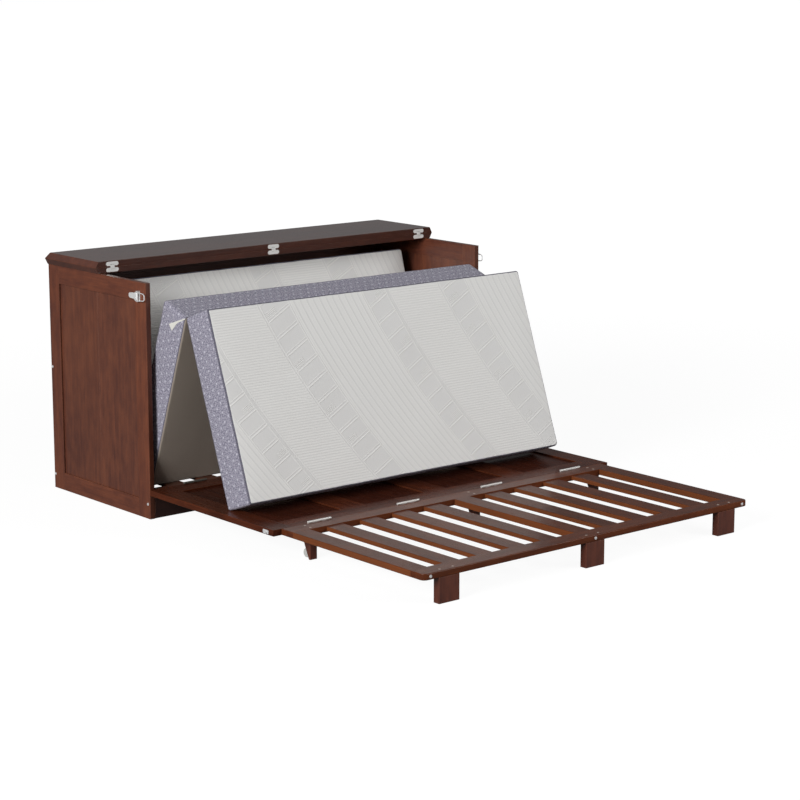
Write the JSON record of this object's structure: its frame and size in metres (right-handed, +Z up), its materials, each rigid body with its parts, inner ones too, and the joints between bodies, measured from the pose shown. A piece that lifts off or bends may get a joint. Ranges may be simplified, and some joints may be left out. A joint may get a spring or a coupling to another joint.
{
  "type": "cabinet bed",
  "caption": "Low cabinet whose front drops and unfolds into a slatted bed, with a fold-back top and a mattress that folds in a Z.",
  "frame": {"origin": "on the floor, at the middle of the footprint of the opened bed", "axes": "+Z up, +Y from the bed's foot to the cabinet's back, +X to the right seen from the foot"},
  "size_m": [1.682, 2.2222, 0.9443],
  "materials": {
    "case_wood": "red-brown stained hardwood under satin lacquer",
    "deck_wood": "red-brown stained slats, satin",
    "top_wood": "red-brown stained top, smooth satin lacquer",
    "panel_wood": "red-brown stained panelled front, glossy lacquer",
    "foot_wood": "red-brown stained slatted frame, glossy lacquer",
    "leg_wood": "dark red-brown stained legs, satin",
    "hinge_steel": "zinc-plated steel",
    "latch_steel": "nickel-plated steel",
    "cap_metal": "bright nickel-plated bolt heads",
    "plug_plastic": "dark brown plugs over the screws",
    "roller_plastic": "white nylon wheel",
    "fork_steel": "zinc-plated steel",
    "mattress_ticking": "woven ticking with a raised pattern, off-white with a lilac border",
    "mattress_piping": "lilac-grey sewn strip",
    "zip_metal": "off-white woven tape"
  },
  "bodies": {
    "cabinet": {"left_front_stile": "case_wood", "left_rear_stile": "case_wood", "left_top_rail": "case_wood", "left_bottom_rail": "case_wood", "left_side_boards": "case_wood", "right_front_stile": "case_wood", "right_rear_stile": "case_wood", "right_top_rail": "case_wood", "right_bottom_rail": "case_wood", "right_side_boards": "case_wood", "back_board": "case_wood", "back_rails": "case_wood", "kick_board": "case_wood", "deck_front_rail": "deck_wood", "deck_ledgers": "deck_wood", "deck_slats": "deck_wood", "fixed_top": "top_wood", "cabinet_bolt_caps": "cap_metal", "top_hinge_cabinet_plates": "hinge_steel", "panel_hinge_cabinet_leaves": "hinge_steel", "latch_plates": "latch_steel"},
    "top_flap": {"top_flap": "top_wood", "top_hinge_flap_plates": "hinge_steel"},
    "top_links": {"top_hinge_links": "hinge_steel"},
    "front_panel": {"panel_left_stile": "panel_wood", "panel_right_stile": "panel_wood", "panel_hinge_rail": "panel_wood", "panel_free_rail": "panel_wood", "panel_mullions": "panel_wood", "panel_boards": "panel_wood", "panel_hinge_panel_leaves": "hinge_steel", "panel_hinge_pins": "hinge_steel", "foot_hinge_panel_leaves": "hinge_steel", "latch_keepers": "latch_steel"},
    "foot_section": {"foot_hinge_rail": "foot_wood", "foot_end_rail": "foot_wood", "foot_left_stile": "foot_wood", "foot_right_stile": "foot_wood", "foot_centre_stile": "foot_wood", "foot_slats": "foot_wood", "front_legs": "leg_wood", "left_mid_leg": "leg_wood", "centre_mid_leg": "leg_wood", "right_mid_leg": "leg_wood", "foot_hinge_foot_leaves": "hinge_steel", "foot_hinge_pins": "hinge_steel", "foot_screw_plugs": "plug_plastic", "foot_bolt_caps": "cap_metal", "roller_forks": "fork_steel"},
    "left_roller": {"left_roller": "roller_plastic"},
    "right_roller": {"right_roller": "roller_plastic"},
    "left_lever": {"left_latch_lever": "latch_steel"},
    "right_lever": {"right_latch_lever": "latch_steel"},
    "left_bail": {"left_latch_bail": "latch_steel"},
    "right_bail": {"right_latch_bail": "latch_steel"},
    "mattress_fold": {"mattress_fold_cord": "mattress_piping"},
    "mattress_head": {"mattress_head_section": "mattress_ticking"},
    "mattress_middle": {"mattress_middle_section": "mattress_ticking", "mattress_zip_pull": "zip_metal"},
    "mattress_foot": {"mattress_foot_section": "mattress_ticking"}
  },
  "joints": [
    {"name": "front_panel_drop", "type": "hinge", "parent": "cabinet", "child": "front_panel", "pos_m": [0, 0.4286, 0.1173], "axis": [1, 0, 0], "range_deg": [-90, 0], "deforming": ["mattress_head_section", "mattress_middle_section", "mattress_foot_section", "mattress_fold_cord", "mattress_zip_pull"]},
    {"name": "foot_section_fold", "type": "hinge", "parent": "front_panel", "child": "foot_section", "pos_m": [0, -0.3414, 0.1173], "axis": [1, 0, 0], "range_deg": [-180, 0]},
    {"name": "top_flap_fold", "type": "hinge", "parent": "cabinet", "child": "top_flap", "pos_m": [0, 0.7436, 0.92115], "axis": [-1, 0, 0], "range_deg": [-180, 0]},
    {"name": "top_link_turn", "type": "hinge", "parent": "cabinet", "child": "top_links", "pos_m": [0, 0.7436, 0.92115], "axis": [-1, 0, 0], "range_deg": [-90.05, 0]},
    {"name": "left_latch_lever_swing", "type": "hinge", "parent": "cabinet", "child": "left_lever", "pos_m": [-0.834, 0.4721, 0.846], "axis": [0, 0, 1], "range_deg": [0, 150]},
    {"name": "right_latch_lever_swing", "type": "hinge", "parent": "cabinet", "child": "right_lever", "pos_m": [0.834, 0.4721, 0.846], "axis": [0, 0, -1], "range_deg": [0, 150]},
    {"name": "left_latch_bail_swing", "type": "hinge", "parent": "left_lever", "child": "left_bail", "pos_m": [-0.838, 0.4801, 0.846], "axis": [0, 0, 1], "range_deg": [-150.05, 0]},
    {"name": "right_latch_bail_swing", "type": "hinge", "parent": "right_lever", "child": "right_bail", "pos_m": [0.838, 0.4801, 0.846], "axis": [0, 0, -1], "range_deg": [-150.05, 0]},
    {"name": "left_roller_spin", "type": "hinge", "parent": "foot_section", "child": "left_roller", "pos_m": [-0.698, -0.37208, 0.017], "axis": [1, 0, 0], "continuous": true},
    {"name": "right_roller_spin", "type": "hinge", "parent": "foot_section", "child": "right_roller", "pos_m": [0.698, -0.37208, 0.017], "axis": [1, 0, 0], "continuous": true},
    {"name": "mattress_unfold", "type": "slide", "parent": "cabinet", "child": "mattress_fold", "axis": [0, -0.9347, 0.3555], "range_m": [0, 0.2975]},
    {"name": "mattress_head_turn", "type": "hinge", "parent": "mattress_fold", "child": "mattress_head", "pos_m": [0, 0.62518, 0.16024], "axis": [1, 0, 0], "range_deg": [-73.55, 0]},
    {"name": "mattress_middle_turn", "type": "hinge", "parent": "mattress_fold", "child": "mattress_middle", "pos_m": [0, 0.62518, 0.16024], "axis": [1, 0, 0], "range_deg": [0, 70.05]},
    {"name": "mattress_foot_turn", "type": "hinge", "parent": "mattress_middle", "child": "mattress_foot", "pos_m": [0, 0.23916, 0.78808], "axis": [1, 0, 0], "range_deg": [-140.05, 0]}
  ],
  "couplings": [
    {"joint": "top_link_turn", "follows": "top_flap_fold", "ratio": 0.5},
    {"joint": "left_latch_bail_swing", "follows": "left_latch_lever_swing", "ratio": -1},
    {"joint": "right_latch_bail_swing", "follows": "right_latch_lever_swing", "ratio": -1},
    {"joint": "mattress_head_turn", "follows": "mattress_unfold", "rad_per_m": -4.312},
    {"joint": "mattress_middle_turn", "follows": "mattress_unfold", "rad_per_m": 4.1067},
    {"joint": "mattress_foot_turn", "follows": "mattress_unfold", "rad_per_m": -8.2133}
  ]
}
